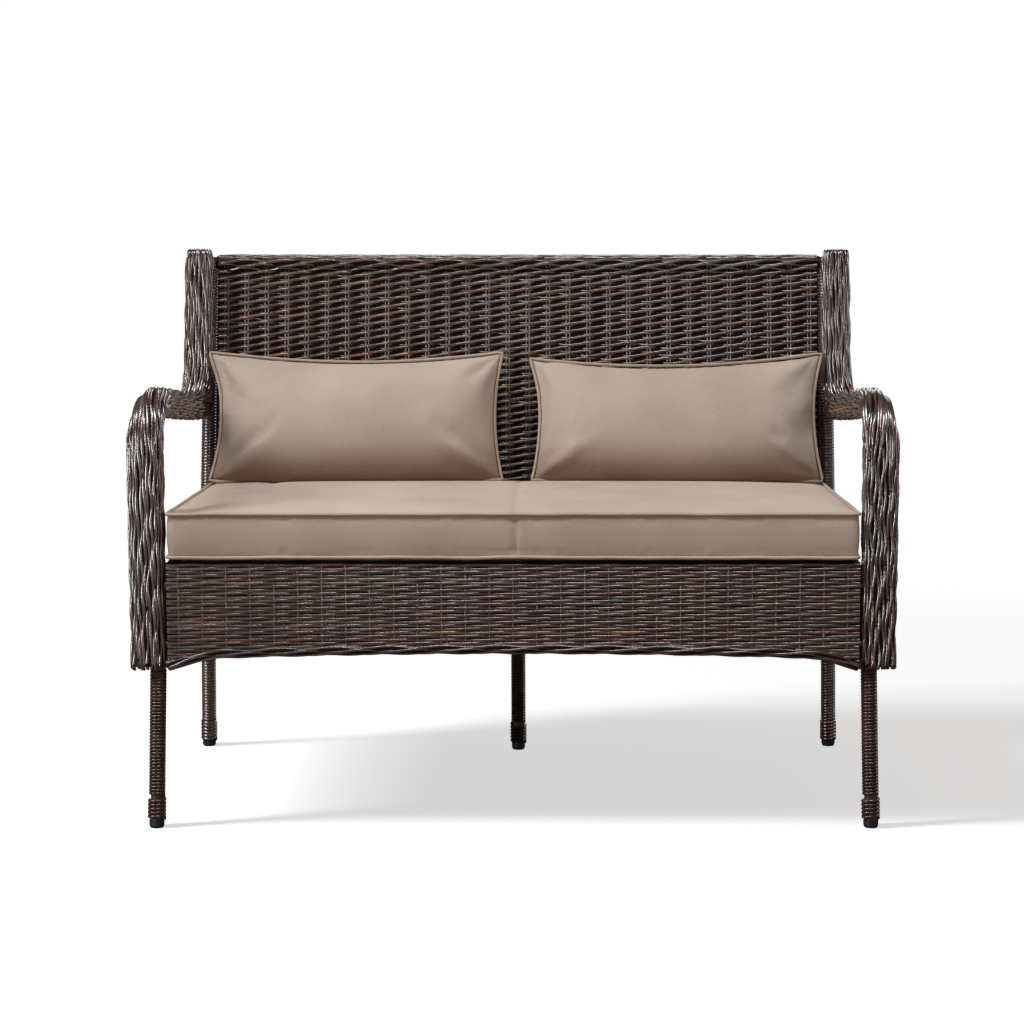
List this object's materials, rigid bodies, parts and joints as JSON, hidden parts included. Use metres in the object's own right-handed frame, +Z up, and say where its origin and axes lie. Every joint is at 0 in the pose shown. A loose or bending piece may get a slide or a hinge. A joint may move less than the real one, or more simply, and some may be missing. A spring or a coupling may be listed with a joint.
{
  "type": "patio loveseat",
  "caption": "Wicker patio loveseat with looped arms, winged back, arched apron, rear middle leg, bench seat cushion and lumbar pillows.",
  "frame": {"origin": "on the floor, under the middle of the loveseat's overall width and depth", "axes": "+X to the right as someone faces the loveseat, +Y from front to back, +Z up"},
  "size_m": [1.2202, 0.639, 0.914],
  "materials": {
    "frame_steel": "satin dark brown powder coat",
    "wicker": "dark brown resin wicker, streaked",
    "foot_rubber": "matte black",
    "cushion_fabric": "taupe outdoor canvas",
    "piping_fabric": "taupe covered cord",
    "cushion_core": "foam and fibre filling",
    "fastener_steel": "zinc plated"
  },
  "bodies": {
    "frame": {"apron_arch_rod": "frame_steel", "apron_drop_tube_left": "frame_steel", "apron_drop_tube_right": "frame_steel", "arm_loop_left": "frame_steel", "arm_loop_right": "frame_steel", "arm_ties_left": "frame_steel", "arm_ties_right": "frame_steel", "arm_weave_left": "wicker", "arm_weave_right": "wicker", "back_lower_rail": "frame_steel", "back_lower_roll": "wicker", "back_rods": "frame_steel", "back_top_rail": "frame_steel", "back_top_roll": "wicker", "back_weave": "wicker", "centre_leg": "frame_steel", "centre_leg_binding": "wicker", "centre_leg_cap": "foot_rubber", "centre_leg_wrap": "wicker", "frame_bolts": "fastener_steel", "frame_spacers": "fastener_steel", "frame_washers": "fastener_steel", "front_apron": "wicker", "front_leg_left": "frame_steel", "front_leg_left_binding": "wicker", "front_leg_left_cap": "foot_rubber", "front_leg_left_wrap": "wicker", "front_leg_right": "frame_steel", "front_leg_right_binding": "wicker", "front_leg_right_cap": "foot_rubber", "front_leg_right_wrap": "wicker", "rear_apron": "wicker", "rear_leg_left": "frame_steel", "rear_leg_left_binding": "wicker", "rear_leg_left_cap": "foot_rubber", "rear_leg_left_wrap": "wicker", "rear_leg_right": "frame_steel", "rear_leg_right_binding": "wicker", "rear_leg_right_cap": "foot_rubber", "rear_leg_right_wrap": "wicker", "seat_brackets": "frame_steel", "seat_cross_bars": "frame_steel", "seat_deck": "wicker", "seat_front_rail": "frame_steel", "seat_rear_rail": "frame_steel", "seat_side_rail_left": "frame_steel", "seat_side_rail_right": "frame_steel", "side_apron_left": "wicker", "side_apron_right": "wicker", "side_apron_rod_left": "frame_steel", "side_apron_rod_right": "frame_steel"},
    "seat_cushion": {"seat_cushion_cover": "cushion_fabric", "seat_cushion_foam": "cushion_core", "seat_cushion_piping": "piping_fabric"},
    "pillow_left": {"pillow_left_cover": "cushion_fabric", "pillow_left_fill": "cushion_core", "pillow_left_piping": "piping_fabric"},
    "pillow_right": {"pillow_right_cover": "cushion_fabric", "pillow_right_fill": "cushion_core", "pillow_right_piping": "piping_fabric"}
  },
  "joints": [
    {"name": "seat_cushion_lift", "type": "slide", "parent": "frame", "child": "seat_cushion", "axis": [0, 0, 1], "range_m": [0, 0.25]},
    {"name": "pillow_left_lift", "type": "slide", "parent": "seat_cushion", "child": "pillow_left", "axis": [0, 0, 1], "range_m": [0, 0.2]},
    {"name": "pillow_right_lift", "type": "slide", "parent": "seat_cushion", "child": "pillow_right", "axis": [0, 0, 1], "range_m": [0, 0.2]}
  ]
}
